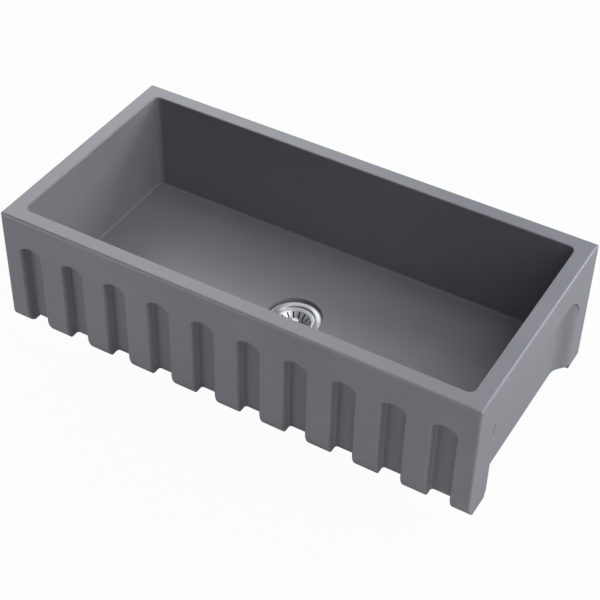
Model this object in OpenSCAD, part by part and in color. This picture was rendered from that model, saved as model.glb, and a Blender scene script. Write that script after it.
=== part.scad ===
// Apron front kitchen sink in glazed fireclay, with a fluted front, a recess in each side
// and a basket strainer in the outlet.
// Millimetres. The origin is at the centre of the feet, X runs along the front, the fluted
// front faces -Y and Z points up.

/* [Sink body] */
// Overall width along the fluted front
sink_width = 914; // [900:1:1100]
// Overall depth from the fluted front to the plain back
sink_depth = 462; // [420:1:560]
// Overall height from the feet to the rim
sink_height = 254; // [240:1:300]
// Width of the flat rim round the bowl
rim_width = 30.5; // [27:0.5:45]
// Height of the flat underside above the feet
underside_height = 12.4; // [8:0.2:16]
// Thickness of the floor between the bowl and the flat underside
floor_thickness = 36.6; // [30:0.2:60]
// Radius of the four upright outer corners
corner_radius = 5; // [2:0.5:9]
// Radius of the outer edge of the rim
edge_radius = 5; // [2:0.5:9]
// Radius of the outer bottom edges at the sides and the back
foot_edge_radius = 4; // [1:0.5:6]
// Radius of the upright corners of the bowl
bowl_corner_radius = 12; // [8:1:30]
// Radius where the bowl's walls meet its floor
bowl_floor_radius = 5; // [2:0.5:10]
// Radius of the rim's inner edge
mouth_radius = 2.5; // [1:0.5:5]

/* [Front apron] */
// Radius of the curve under the front
apron_curve_radius = 45; // [36:1:50]
// Height at which the front starts to curve under
apron_curve_start = 40; // [36:1:46]
// Number of flutes
flute_count = 10; // [4:1:10]
// Distance from a side face to the centre of the outermost flute
flute_end_distance = 56.95; // [56.5:0.05:80]
// Width between the two walls of a flute
flute_width = 43; // [34:0.5:48]
// Depth of a flute behind the front face
flute_depth = 18; // [12:0.5:20]
// Distance from the rim down to the crown of a flute's arch
flute_crown_drop = 61.6; // [45:0.2:90]
// Radius of the flat arch at the top of a flute
flute_arch_radius = 29; // [28:0.5:40]
// Radius of the shoulders between the arch and the walls
flute_shoulder_radius = 5; // [3:0.5:8]
// Radius inside a flute where the walls meet its floor
flute_corner_radius = 5; // [2:0.5:6]
// Radius of a flute's outer edges
flute_edge_radius = 3; // [1:0.5:5]

/* [Feet] */
// Width of each foot along the front
foot_width = 30; // [22:1:32]
// Depth of the two front feet, up to the side recess
front_foot_depth = 62.6; // [56:0.2:90]
// Depth of the two back feet, up to the side recess
back_foot_depth = 48; // [36:0.5:80]

/* [Side recesses] */
// Depth of the recess in each side
recess_depth = 19.5; // [14:0.5:21]
// Distance from the rim down to the top of the recess
recess_top_drop = 65; // [45:1:90]
// Slope of the recess ends, from the side face
recess_ramp_angle = 41; // [35:1:60]
// Radius where a recess end meets the recess floor
recess_inner_radius = 32; // [10:1:34]
// Radius where a recess end meets the side face
recess_outer_radius = 24; // [8:1:26]
// Radius of the front upper corner of the recess
recess_front_corner = 37; // [20:1:60]
// Radius of the back upper corner of the recess
recess_back_corner = 71; // [30:1:90]
// Radius of the recess's upper outer edge
recess_edge_radius = 3; // [1:0.5:5]

/* [Outlet opening] */
// Gap between the hole through the floor and the strainer's thread
outlet_hole_gap = 3; // [2.5:0.25:4.5]
// Gap between the side of the sunken seat and the strainer's flange
outlet_seat_gap = 1.5; // [1:0.25:6]
// Depth of the seat below the bowl floor
outlet_seat_depth = 9.5; // [6:0.5:12]
// Radius of the seat's upper edge
outlet_lip_radius = 4; // [1:0.5:5]

/* [Strainer body] */
// Diameter of the thread below the flange
body_thread_diameter = 83; // [80:0.5:86]
// How far the flange reaches out past the thread
flange_reach = 7.5; // [6.5:0.25:8]
// Height of the flange at its outer part
flange_height = 1.7; // [1.2:0.1:2.5]
// How far the flange dips towards its bore
flange_dip = 1.4; // [0.4:0.1:1.6]
// Thickness of the seal under the flange
seal_height = 0.8; // [0.4:0.1:2]
// How far the thread runs on below the lock nut
body_thread_spare = 1.4; // [0.5:0.1:8]
// Wall between the flange's bore and the thread
flange_bore_wall = 2; // [2:0.1:3]
// Width of the step above the bore that the basket's rim drops into
step_width = 2.1; // [1.3:0.1:2.5]
// Depth of the step above the rim bore, below the flange's underside
step_drop = 1.7; // [1:0.1:2]
// Depth of the rim seat, below the flange's underside
rim_seat_drop = 4.9; // [4:0.1:6]
// Width of the seat that the basket's rim rests on
rim_seat_width = 2.2; // [1.4:0.1:2.8]
// Depth at which the cup starts to narrow, below the flange's underside
cup_bore_length = 34.3; // [32:0.1:40]
// Height of the cup's sloping bottom
cup_slope_height = 12; // [8:0.5:14]
// Diameter of the outlet's bore
outlet_bore_diameter = 39; // [37:0.5:41]
// Wall between the outlet's bore and its thread
outlet_wall = 4.25; // [3.5:0.05:5]
// Length of the outlet's thread
outlet_thread_length = 19; // [16:0.5:26]
// Height of the taper from the cup to the outlet
cup_taper_height = 8; // [5:0.5:12]

/* [Outlet cross] */
// Number of arms in the outlet cross
cross_arm_count = 4; // [3:1:6]
// Width of each arm
cross_arm_width = 2.6; // [1.6:0.2:4]
// Height of the outlet cross
cross_height = 3; // [2:0.5:5]
// Diameter of the cross's hub
cross_hub_diameter = 11; // [9:0.5:14]
// Thickness of the cross's outer ring
cross_ring_wall = 1.4; // [1:0.2:2.4]

/* [Fixing under the sink] */
// Thickness of the rubber gasket
gasket_height = 3.5; // [2:0.5:5]
// How far the rubber gasket reaches out past the thread
gasket_reach = 15.5; // [12.5:0.5:18.5]
// Thickness of the friction ring
friction_height = 1.5; // [0.8:0.1:2.5]
// How far the friction ring reaches out past the thread
friction_reach = 14.5; // [11.5:0.5:17.5]
// Height of the lock nut
lock_nut_height = 12; // [8:0.5:14]
// Wall of the lock nut's ring
lock_nut_wall = 10; // [7.5:0.25:12.5]
// Number of lugs on the lock nut
lug_count = 8; // [4:1:12]
// Width of each lug
lug_width = 9; // [5:0.5:14]
// How far the lugs stand out of the ring
lug_reach = 5; // [3:0.5:7]

/* [Tailpiece] */
// Outer diameter of the tailpiece
tailpiece_diameter = 38.1; // [36:0.1:38.5]
// Wall of the tailpiece
tailpiece_wall = 1.2; // [0.8:0.1:2]
// Length of the tailpiece below its flange
tailpiece_length = 76; // [50:1:150]
// Thickness of the tailpiece's flange
tailpiece_flange_height = 1.6; // [1:0.1:2.5]
// How much smaller the tailpiece's flange is in radius than the outlet's thread
tailpiece_flange_inset = 0.55; // [0.45:0.05:1.2]
// Thickness of the tailpiece's washer
tail_washer_height = 2; // [1:0.1:3]
// Height of the coupling nut
coupling_height = 20; // [16:0.5:26]
// Wall of the coupling nut at its grips, out from the thread
coupling_wall = 5.25; // [4:0.25:9]
// Thickness of the coupling nut's inner lip
coupling_lip_height = 3; // [2:0.5:5]
// Number of grips round the coupling nut
grip_count = 8; // [6:1:12]
// Radius of the hollows between the grips
grip_hollow_radius = 6; // [4:0.5:8]
// Depth of the hollows between the grips
grip_hollow_depth = 2; // [1:0.2:2.4]

/* [Basket] */
// Gap round the basket's rim in its bore
basket_rim_gap = 1; // [0.7:0.1:1.4]
// Width of the basket's rim, with its rolled ring
basket_ledge_width = 5.9; // [5:0.1:7.4]
// Thickness of the basket's sheet
basket_sheet = 0.9; // [0.6:0.1:1.4]
// Height that the rim's ring stands above its seat
basket_rim_height = 2.6; // [2:0.1:3.4]
// Width of the rolled ring round the rim
basket_rim_roll = 2.2; // [1.6:0.1:2.8]
// Diameter at the foot of the slotted slope
slope_foot_diameter = 43; // [40:0.5:48]
// Height of the slotted slope
slope_height = 9.5; // [7:0.5:12]
// Diameter of the basket's bottom
basket_bottom_diameter = 40; // [36:0.5:40]
// Full depth of the basket below its seat
basket_depth = 29.8; // [26:0.2:31]
// Number of slots
slot_count = 16; // [8:1:20]
// Width of each slot
slot_width = 2.6; // [1.6:0.1:3.2]
// Number of holes in the basket's bottom
bottom_hole_count = 8; // [4:1:12]
// Diameter of each hole in the bottom
bottom_hole_diameter = 3.6; // [2:0.2:4.4]
// Thickness of the rubber stopper
stopper_height = 3.5; // [2.5:0.1:4]
// Diameter of the washer under the stopper
stopper_washer_diameter = 24; // [16:0.5:30]
// Thickness of the washer under the stopper
stopper_washer_height = 1; // [0.6:0.1:2]
// Diameter of the nut on the stem
stem_nut_diameter = 10; // [9:0.5:12]
// Height of the nut on the stem
stem_nut_height = 2.5; // [2:0.1:4]
// Diameter of the stem inside the basket
stem_diameter = 6.4; // [5:0.2:8]
// Diameter of the stem below the basket
stem_tail_diameter = 4.4; // [3.6:0.2:4.6]
// Length of the stem's tail below its nut
stem_tail_length = 15; // [13:0.5:20]
// Diameter of the pull knob
knob_diameter = 17; // [12:0.5:20]
// Height of the pull knob
knob_height = 8; // [6:0.5:10]
// How far the knob's top stands above the rim seat
knob_rise = 4; // [0:0.5:8]

/* [Hidden] */

// One overrun for every cut, and the clearances between pieces.
overrun = 1;
thread_gap = 0.1;
washer_gap = 0.2;
seat_gap = 0.3;
stem_gap = 0.05;
guide_gap = 0.4;
// How much larger the tailpiece's neck is in radius, where its flange is formed.
neck_swell = 0.6;
// Facets of the large arcs, of the small roundings and of the turned pieces.
arc_facets = 48;
round_facets = 16;
turned_facets = 64;

// Colours of the materials.
clay_colour = [0.62, 0.63, 0.66];
steel_colour = [0.78, 0.79, 0.81];
zinc_colour = [0.62, 0.63, 0.64];
chrome_colour = [0.82, 0.83, 0.85];
rubber_colour = [0.12, 0.12, 0.13];
fibre_colour = [0.80, 0.74, 0.62];
plastic_colour = [0.88, 0.88, 0.86];

// Places that the sink body's sizes give.
half_width = sink_width / 2;
half_depth = sink_depth / 2;
bowl_floor_z = underside_height + floor_thickness;
bowl_depth = sink_height - bowl_floor_z;
flute_pitch = (sink_width - 2 * flute_end_distance) / (flute_count - 1);
outlet_seat_z = bowl_floor_z - outlet_seat_depth;
arch_z = sink_height - flute_crown_drop - flute_arch_radius;
shoulder_x = flute_width / 2 - flute_shoulder_radius;
shoulder_reach = flute_arch_radius - flute_shoulder_radius;
shoulder_rise = sqrt(shoulder_reach * shoulder_reach - shoulder_x * shoulder_x);
shoulder_angle = atan2(shoulder_rise, shoulder_x);
shoulder_z = arch_z + shoulder_rise;
flute_fillet = min(flute_corner_radius, flute_shoulder_radius);
recess_top_z = sink_height - recess_top_drop;
recess_front_y = front_foot_depth - half_depth;
recess_back_y = half_depth - back_foot_depth;

// The recess ends: both radii shrink together where the slope is too short for them.
ramp_length = recess_depth / sin(recess_ramp_angle);
ramp_run = recess_depth / tan(recess_ramp_angle);
full_tangents = (recess_inner_radius + recess_outer_radius) * tan(recess_ramp_angle / 2);
ramp_use_share = 0.95;
ramp_fit = min(1, ramp_use_share * ramp_length / full_tangents);
inner_radius = recess_inner_radius * ramp_fit;
outer_radius = recess_outer_radius * ramp_fit;
inner_tangent = inner_radius * tan(recess_ramp_angle / 2);
outer_tangent = outer_radius * tan(recess_ramp_angle / 2);

// Diameters of the strainer, which all follow its two threads.
flange_diameter = body_thread_diameter + 2 * flange_reach;
flange_bore_diameter = body_thread_diameter - 2 * flange_bore_wall;
rim_bore_diameter = flange_bore_diameter - 2 * step_width;
cup_bore_diameter = rim_bore_diameter - 2 * rim_seat_width;
outlet_hole_diameter = body_thread_diameter + 2 * outlet_hole_gap;
outlet_seat_diameter = flange_diameter + 2 * outlet_seat_gap;
gasket_diameter = body_thread_diameter + 2 * gasket_reach;
friction_diameter = body_thread_diameter + 2 * friction_reach;
lock_nut_diameter = body_thread_diameter + 2 * lock_nut_wall;
outlet_thread_diameter = outlet_bore_diameter + 2 * outlet_wall;
tailpiece_flange_diameter = outlet_thread_diameter - 2 * tailpiece_flange_inset;
coupling_diameter = outlet_thread_diameter + 2 * coupling_wall;
basket_rim_diameter = rim_bore_diameter - 2 * basket_rim_gap;
basket_ledge_diameter = basket_rim_diameter - 2 * basket_ledge_width;

// Heights down the strainer, from its flange to the tailpiece.
flange_z = outlet_seat_z + seal_height;
flange_top_z = flange_z + flange_height;
step_z = flange_z - step_drop;
rim_seat_z = flange_z - rim_seat_drop;
cup_slope_z = flange_z - cup_bore_length;
cup_end_z = cup_slope_z - cup_slope_height;
gasket_z = underside_height - gasket_height;
friction_z = gasket_z - friction_height;
lock_nut_z = friction_z - lock_nut_height;
thread_end_z = lock_nut_z - body_thread_spare;
outlet_top_z = thread_end_z - cup_taper_height;
outlet_end_z = outlet_top_z - outlet_thread_length;
cross_z = cup_end_z - cross_height;
tail_washer_z = outlet_end_z - tail_washer_height;
tail_flange_z = tail_washer_z - tailpiece_flange_height;
tail_end_z = tail_flange_z - tailpiece_length;
coupling_z = tail_flange_z - coupling_lip_height;
tail_neck_z = coupling_z - washer_gap;

// Heights through the basket, which rests just above its seat.
basket_z = rim_seat_z + seat_gap;
slope_top_z = basket_z + basket_sheet;
slope_foot_z = slope_top_z - slope_height;
basket_bottom_z = basket_z - basket_depth;
stopper_z = basket_bottom_z - stopper_height;
stopper_washer_z = stopper_z - stopper_washer_height;
stem_nut_z = stopper_washer_z - stem_nut_height;
stem_end_z = stem_nut_z - stem_tail_length;
knob_top_z = rim_seat_z + knob_rise;
knob_z = knob_top_z - knob_height;
spigot_top_z = knob_z + knob_height / 2;

// The stopper's edge stays one seat gap off the cup's slope.
cup_slope_rate = (cup_bore_diameter - outlet_bore_diameter) / 2 / cup_slope_height;
slope_gap = seat_gap * sqrt(1 + cup_slope_rate * cup_slope_rate);
stopper_radius = outlet_bore_diameter / 2 + (stopper_z - cup_end_z) * cup_slope_rate - slope_gap;

// Extrudes an outline drawn in Y and Z along X, centred.
module along_x(length) {
    rotate([90, 0, 90])
        linear_extrude(height = length, center = true)
            children();
}

// Extrudes an outline drawn in X and Z along Y, centred.
module along_y(length) {
    rotate([90, 0, 0])
        linear_extrude(height = length, center = true)
            children();
}

// Extrudes an outline drawn in X and Z from the front plane towards the back.
module towards_back(length) {
    translate([0, length, 0])
        rotate([90, 0, 0])
            linear_extrude(height = length)
                children();
}

// The waste at a square corner whose two faces are the axes and whose solid lies at +X, +Y:
// what a radius leaves of the corner, with an overrun past both faces.
module corner_waste(radius, facets = round_facets) {
    difference() {
        translate([-overrun, -overrun])
            square(radius + overrun);
        translate([radius, radius])
            circle(r = radius, $fn = facets);
    }
}

module rounded_rectangle(width, depth, radius) {
    difference() {
        square([width, depth], center = true);
        for (side = [0, 1], end = [0, 1])
            mirror([side, 0])
                mirror([0, end])
                    translate([-width / 2, -depth / 2])
                        corner_waste(radius);
    }
}

// Side profile of the outer body, with the curve under the front.
module side_outline() {
    difference() {
        translate([-half_depth, 0])
            square([sink_depth, sink_height]);
        for (end = [0, 1])
            mirror([end, 0])
                translate([-half_depth, sink_height])
                    mirror([0, 1])
                        corner_waste(edge_radius);
        translate([half_depth, 0])
            mirror([1, 0])
                corner_waste(foot_edge_radius);
        difference() {
            translate([-half_depth - overrun, -overrun])
                square([apron_curve_radius + overrun, apron_curve_start + overrun]);
            translate([apron_curve_radius - half_depth, apron_curve_start])
                circle(r = apron_curve_radius, $fn = 2 * arc_facets);
        }
    }
}

// Front profile of the outer body.
module front_outline() {
    difference() {
        translate([-half_width, 0])
            square([sink_width, sink_height]);
        for (side = [0, 1])
            mirror([side, 0]) {
                translate([-half_width, sink_height])
                    mirror([0, 1])
                        corner_waste(edge_radius);
                translate([-half_width, 0])
                    corner_waste(foot_edge_radius);
            }
    }
}

module outer_block() {
    intersection() {
        linear_extrude(height = sink_height)
            rounded_rectangle(sink_width, sink_depth, corner_radius);
        along_x(sink_width)
            side_outline();
        translate([0, -half_depth, 0])
            towards_back(sink_depth)
                front_outline();
    }
}

// What is cut away under the body, leaving the four feet.
module underside_cut() {
    translate([0, 0, -overrun])
        linear_extrude(height = underside_height + overrun)
            difference() {
                square([sink_width + 2 * overrun, sink_depth + 2 * overrun], center = true);
                for (side = [0, 1])
                    mirror([side, 0]) {
                        translate([half_width - foot_width, -half_depth - overrun])
                            square([foot_width + overrun, front_foot_depth + overrun]);
                        translate([half_width - foot_width, half_depth - back_foot_depth])
                            square([foot_width + overrun, back_foot_depth + overrun]);
                    }
            }
}

// One wall profile of the bowl, down to the rounded edge of its floor.
module bowl_outline(width) {
    difference() {
        translate([-width / 2, bowl_floor_z])
            square([width, bowl_depth + overrun]);
        for (side = [0, 1])
            mirror([side, 0])
                translate([-width / 2, bowl_floor_z])
                    corner_waste(bowl_floor_radius);
    }
}

module bowl_cut() {
    bowl_width = sink_width - 2 * rim_width;
    bowl_length = sink_depth - 2 * rim_width;
    intersection() {
        translate([0, 0, bowl_floor_z])
            linear_extrude(height = bowl_depth + overrun)
                rounded_rectangle(bowl_width, bowl_length, bowl_corner_radius);
        along_x(bowl_width)
            bowl_outline(bowl_length);
        translate([0, -bowl_length / 2, 0])
            towards_back(bowl_length)
                bowl_outline(bowl_width);
    }
    mouth_rounding(bowl_width, bowl_length);
}

// The rounding of the rim's inner edge, swept round the mouth of the bowl.
module mouth_rounding(width, length) {
    side_run = length - 2 * bowl_corner_radius;
    front_run = width - 2 * bowl_corner_radius;
    for (turn = [0, 1])
        rotate([0, 0, 180 * turn]) {
            translate([width / 2, 0, sink_height])
                along_y(side_run)
                    mirror([0, 1])
                        corner_waste(mouth_radius);
            translate([0, length / 2, sink_height])
                rotate([0, 0, 90])
                    along_y(front_run)
                        mirror([0, 1])
                            corner_waste(mouth_radius);
        }
    for (side = [0, 1], end = [0, 1])
        mirror([side, 0, 0])
            mirror([0, end, 0])
                translate([front_run / 2, side_run / 2, sink_height])
                    rotate_extrude(angle = 90, $fn = arc_facets)
                        translate([bowl_corner_radius, 0])
                            mirror([0, 1])
                                corner_waste(mouth_radius);
}

module outlet_cut() {
    translate([0, 0, underside_height - overrun])
        cylinder(d = outlet_hole_diameter, h = outlet_seat_z - underside_height + 2 * overrun,
            $fn = turned_facets);
    translate([0, 0, outlet_seat_z])
        cylinder(d = outlet_seat_diameter, h = outlet_seat_depth + overrun, $fn = turned_facets);
    translate([0, 0, bowl_floor_z])
        rotate_extrude($fn = turned_facets)
            translate([outlet_seat_diameter / 2, 0])
                mirror([0, 1])
                    corner_waste(outlet_lip_radius);
}

// Section square to one wall of a flute: the wall stands at X = reach, the front face is the
// X axis and the floor lies at +Y. It carries the rounding of both edges.
module flute_wall_section(reach) {
    difference() {
        translate([0, -overrun])
            square([reach, flute_depth + overrun]);
        translate([reach, flute_depth])
            mirror([1, 0])
                mirror([0, 1])
                    corner_waste(flute_fillet);
    }
    translate([reach, 0])
        corner_waste(flute_edge_radius);
}

// The straight part of a flute, from the curve up to its shoulders.
module flute_shaft() {
    translate([0, 0, apron_curve_start])
        linear_extrude(height = shoulder_z - apron_curve_start)
            for (side = [0, 1])
                mirror([side, 0])
                    flute_wall_section(flute_width / 2);
}

// The top of a flute: two small shoulders and the flat arch between them.
module flute_top() {
    for (side = [0, 1])
        mirror([side, 0, 0])
            translate([shoulder_x, 0, shoulder_z])
                flute_turn(flute_shoulder_radius, 0, shoulder_angle);
    translate([0, 0, arch_z])
        flute_turn(flute_arch_radius, shoulder_angle, 180 - 2 * shoulder_angle);
}

// Turns a flute's wall about an axis square to the front, from a start angle.
module flute_turn(radius, start, sweep) {
    rotate([90, 0, 0])
        rotate([0, 0, start])
            rotate_extrude(angle = sweep, $fn = arc_facets)
                mirror([0, 1])
                    flute_wall_section(radius);
}

// Turns a profile drawn as (radius, X) a quarter round, from the front to straight down.
module front_to_down() {
    rotate([0, 90, 0])
        rotate([0, 0, -90])
            rotate_extrude(angle = 90, $fn = arc_facets)
                children();
}

// The part of a flute that follows the curve under the front.
module flute_sweep() {
    translate([0, apron_curve_radius + flute_depth, apron_curve_start])
        front_to_down()
            difference() {
                translate([apron_curve_radius, -flute_width / 2])
                    square([flute_depth + overrun, flute_width]);
                for (side = [0, 1])
                    mirror([0, side])
                        translate([apron_curve_radius, -flute_width / 2])
                            corner_waste(flute_fillet);
            }
}

// The rounding of a flute's outer edges where they follow the curve.
module flute_curve_edges() {
    for (side = [0, 1])
        mirror([side, 0, 0])
            translate([0, apron_curve_radius, apron_curve_start])
                front_to_down()
                    translate([apron_curve_radius, flute_width / 2])
                        rotate([0, 0, 90])
                            corner_waste(flute_edge_radius);
}

module flute_cuts() {
    for (index = [0 : flute_count - 1])
        translate([(index - (flute_count - 1) / 2) * flute_pitch, -half_depth, 0]) {
            flute_shaft();
            flute_top();
            flute_sweep();
            flute_curve_edges();
        }
}

// Plan of the recess in the right side, cut in from the side face.
module recess_plan() {
    floor_x = half_width - recess_depth;
    reach = overrun / tan(recess_ramp_angle);
    front_edge = recess_front_y + outer_tangent;
    back_edge = recess_back_y - outer_tangent;
    difference() {
        polygon([[half_width + overrun, front_edge - reach], [floor_x, front_edge + ramp_run],
            [floor_x, back_edge - ramp_run], [half_width + overrun, back_edge + reach]]);
        translate([floor_x, front_edge + ramp_run])
            recess_inner_waste();
        translate([floor_x, back_edge - ramp_run])
            mirror([0, 1])
                recess_inner_waste();
    }
    translate([half_width, front_edge])
        recess_outer_waste();
    translate([half_width, back_edge])
        mirror([0, 1])
            recess_outer_waste();
}

// The corner that the inner radius leaves between the recess floor and its front end.
module recess_inner_waste() {
    difference() {
        polygon([[-overrun, 0], [-overrun, inner_tangent], [0, inner_tangent],
            [inner_radius, inner_tangent],
            [inner_tangent * sin(recess_ramp_angle), -inner_tangent * cos(recess_ramp_angle)],
            [0, -overrun]]);
        translate([inner_radius, inner_tangent])
            circle(r = inner_radius, $fn = arc_facets);
    }
}

// The corner that the outer radius takes between the side face and the front end.
module recess_outer_waste() {
    difference() {
        polygon([[overrun, 0], [overrun, -outer_tangent], [0, -outer_tangent],
            [-outer_radius, -outer_tangent],
            [-outer_tangent * sin(recess_ramp_angle), outer_tangent * cos(recess_ramp_angle)]]);
        translate([-outer_radius, -outer_tangent])
            circle(r = outer_radius, $fn = arc_facets);
    }
}

// Side view of the recess, with its two upper corners.
module recess_outline() {
    front_y = recess_front_y - overrun;
    back_y = recess_back_y + overrun;
    difference() {
        translate([front_y, -overrun])
            square([back_y - front_y, recess_top_z + overrun]);
        translate([front_y, recess_top_z])
            mirror([0, 1])
                corner_waste(recess_front_corner, 2 * arc_facets);
        translate([back_y, recess_top_z])
            mirror([0, 1])
                mirror([1, 0])
                    corner_waste(recess_back_corner, 2 * arc_facets);
    }
}

// The rounded outer edge over the top of the recess and round its two corners.
module recess_edges() {
    front_y = recess_front_y - overrun + recess_front_corner;
    back_y = recess_back_y + overrun - recess_back_corner;
    translate([half_width, (front_y + back_y) / 2, recess_top_z])
        along_y(back_y - front_y)
            rotate([0, 0, 90])
                corner_waste(recess_edge_radius);
    translate([half_width, front_y, recess_top_z - recess_front_corner])
        recess_corner_edge(recess_front_corner, 180);
    translate([half_width, back_y, recess_top_z - recess_back_corner])
        recess_corner_edge(recess_back_corner, 90);
}

module recess_corner_edge(radius, start) {
    rotate([0, 90, 0])
        rotate([0, 0, start])
            rotate_extrude(angle = 90, $fn = 2 * arc_facets)
                translate([radius, 0])
                    mirror([0, 1])
                        corner_waste(recess_edge_radius);
}

module recess_cuts() {
    for (side = [0, 1])
        mirror([side, 0, 0]) {
            intersection() {
                translate([0, 0, -overrun])
                    linear_extrude(height = recess_top_z + overrun)
                        recess_plan();
                translate([half_width, 0, 0])
                    along_x(4 * recess_depth)
                        recess_outline();
            }
            recess_edges();
        }
}

module sink_body() {
    color(clay_colour)
        difference() {
            outer_block();
            underside_cut();
            bowl_cut();
            outlet_cut();
            flute_cuts();
            recess_cuts();
        }
}

// A flat ring: its lower face, height and two diameters.
module ring(base, height, outside, inside) {
    translate([0, 0, base])
        difference() {
            cylinder(d = outside, h = height, $fn = turned_facets);
            translate([0, 0, -overrun])
                cylinder(d = inside, h = height + 2 * overrun, $fn = turned_facets);
        }
}

module flange_seal() {
    color(rubber_colour)
        ring(outlet_seat_z, seal_height, flange_diameter - flange_height,
            body_thread_diameter + 2 * washer_gap);
}

// Turned from flange to outlet as one brass casting.
module strainer_body() {
    flange_radius = flange_diameter / 2;
    bore_radius = flange_bore_diameter / 2;
    dip_z = flange_top_z - flange_dip;
    color(steel_colour)
        rotate_extrude($fn = turned_facets)
            polygon([
                [flange_radius - flange_height / 2, flange_z],
                [flange_radius, flange_z + flange_height / 2],
                [flange_radius - flange_height / 2, flange_top_z],
                [flange_radius - 2 * flange_height, flange_top_z],
                [bore_radius + flange_dip, dip_z],
                [bore_radius, dip_z - flange_dip / 2],
                [bore_radius, step_z],
                [rim_bore_diameter / 2 + flange_dip / 2, step_z],
                [rim_bore_diameter / 2, step_z - flange_dip / 2],
                [rim_bore_diameter / 2, rim_seat_z],
                [cup_bore_diameter / 2, rim_seat_z],
                [cup_bore_diameter / 2, cup_slope_z],
                [outlet_bore_diameter / 2, cup_end_z],
                [outlet_bore_diameter / 2, outlet_end_z],
                [outlet_thread_diameter / 2, outlet_end_z],
                [outlet_thread_diameter / 2, outlet_top_z],
                [body_thread_diameter / 2, thread_end_z],
                [body_thread_diameter / 2, flange_z]]);
}

// The cross pressed into the outlet, with a hole that guides the stem.
module outlet_cross() {
    guide_diameter = stem_tail_diameter + 2 * guide_gap;
    ring_radius = outlet_bore_diameter / 2 - thread_gap;
    color(steel_colour)
        difference() {
            union() {
                ring(cross_z, cross_height, 2 * ring_radius, 2 * (ring_radius - cross_ring_wall));
                translate([0, 0, cross_z])
                    cylinder(d = cross_hub_diameter, h = cross_height, $fn = turned_facets);
                for (arm = [0 : cross_arm_count - 1])
                    rotate([0, 0, arm * 360 / cross_arm_count])
                        translate([0, -cross_arm_width / 2, cross_z])
                            cube([ring_radius - cross_ring_wall / 2, cross_arm_width, cross_height]);
            }
            translate([0, 0, cross_z - overrun])
                cylinder(d = guide_diameter, h = cross_height + 2 * overrun, $fn = turned_facets);
        }
}

module sink_gasket() {
    color(rubber_colour)
        ring(gasket_z, gasket_height, gasket_diameter, body_thread_diameter + 2 * washer_gap);
}

module friction_ring() {
    color(fibre_colour)
        ring(friction_z, friction_height, friction_diameter, body_thread_diameter + 2 * washer_gap);
}

module lock_nut() {
    lug_start = (body_thread_diameter + lock_nut_diameter) / 4;
    lug_end = lock_nut_diameter / 2 + lug_reach;
    color(zinc_colour)
        translate([0, 0, lock_nut_z])
            linear_extrude(height = lock_nut_height)
                difference() {
                    union() {
                        circle(d = lock_nut_diameter, $fn = turned_facets);
                        for (lug = [0 : lug_count - 1])
                            rotate(lug * 360 / lug_count)
                                translate([lug_start, -lug_width / 2])
                                    square([lug_end - lug_start, lug_width]);
                    }
                    circle(d = body_thread_diameter + 2 * thread_gap, $fn = turned_facets);
                }
}

module tailpiece_washer() {
    color(plastic_colour)
        ring(tail_washer_z, tail_washer_height, tailpiece_flange_diameter,
            tailpiece_diameter - 2 * tailpiece_wall);
}

// The nut that draws the tailpiece's flange up to the outlet.
module coupling_nut() {
    lip_bore = tailpiece_diameter + 2 * (neck_swell + washer_gap);
    thread_bore = outlet_thread_diameter + 2 * thread_gap;
    hollow_at = coupling_diameter / 2 + grip_hollow_radius - grip_hollow_depth;
    color(chrome_colour)
        difference() {
            translate([0, 0, coupling_z])
                cylinder(d = coupling_diameter, h = coupling_height, $fn = turned_facets);
            translate([0, 0, coupling_z - overrun])
                cylinder(d = lip_bore, h = coupling_height + 2 * overrun, $fn = turned_facets);
            translate([0, 0, tail_flange_z])
                cylinder(d = thread_bore, h = coupling_height, $fn = turned_facets);
            for (grip = [0 : grip_count - 1])
                rotate([0, 0, grip * 360 / grip_count])
                    translate([hollow_at, 0, coupling_z - overrun])
                        cylinder(r = grip_hollow_radius, h = coupling_height + 2 * overrun,
                            $fn = round_facets);
        }
}

module tailpiece() {
    tube_radius = tailpiece_diameter / 2;
    bore_radius = tube_radius - tailpiece_wall;
    flange_radius = tailpiece_flange_diameter / 2;
    color(steel_colour)
        rotate_extrude($fn = turned_facets)
            polygon([
                [bore_radius, tail_end_z],
                [tube_radius, tail_end_z],
                [tube_radius, tail_neck_z],
                [tube_radius + neck_swell, tail_neck_z],
                [tube_radius + neck_swell, tail_flange_z],
                [flange_radius, tail_flange_z],
                [flange_radius, tail_washer_z],
                [bore_radius, tail_washer_z]]);
}

// The basket: rolled rim, flat ledge, slotted slope and a deep cup, pressed from sheet.
module basket_cup() {
    rim_radius = basket_rim_diameter / 2;
    ledge_radius = basket_ledge_diameter / 2;
    foot_radius = slope_foot_diameter / 2;
    bottom_radius = basket_bottom_diameter / 2;
    color(steel_colour)
        difference() {
            rotate_extrude($fn = turned_facets)
                polygon([
                    [rim_radius, basket_z],
                    [rim_radius, basket_z + basket_rim_height - basket_rim_roll / 2],
                    [rim_radius - basket_rim_roll / 4, basket_z + basket_rim_height],
                    [rim_radius - basket_rim_roll, basket_z + basket_rim_height - basket_rim_roll / 4],
                    [rim_radius - basket_rim_roll, slope_top_z],
                    [ledge_radius, slope_top_z],
                    [foot_radius, slope_foot_z],
                    [bottom_radius, basket_bottom_z + 2 * basket_sheet],
                    [bottom_radius - basket_sheet, basket_bottom_z + basket_sheet],
                    [0, basket_bottom_z + basket_sheet],
                    [0, basket_bottom_z],
                    [bottom_radius - basket_sheet, basket_bottom_z],
                    [bottom_radius + basket_sheet, basket_bottom_z + 2 * basket_sheet],
                    [foot_radius + basket_sheet, slope_foot_z],
                    [ledge_radius + basket_sheet / 2, basket_z]]);
            basket_slots();
            basket_holes();
        }
}

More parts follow.
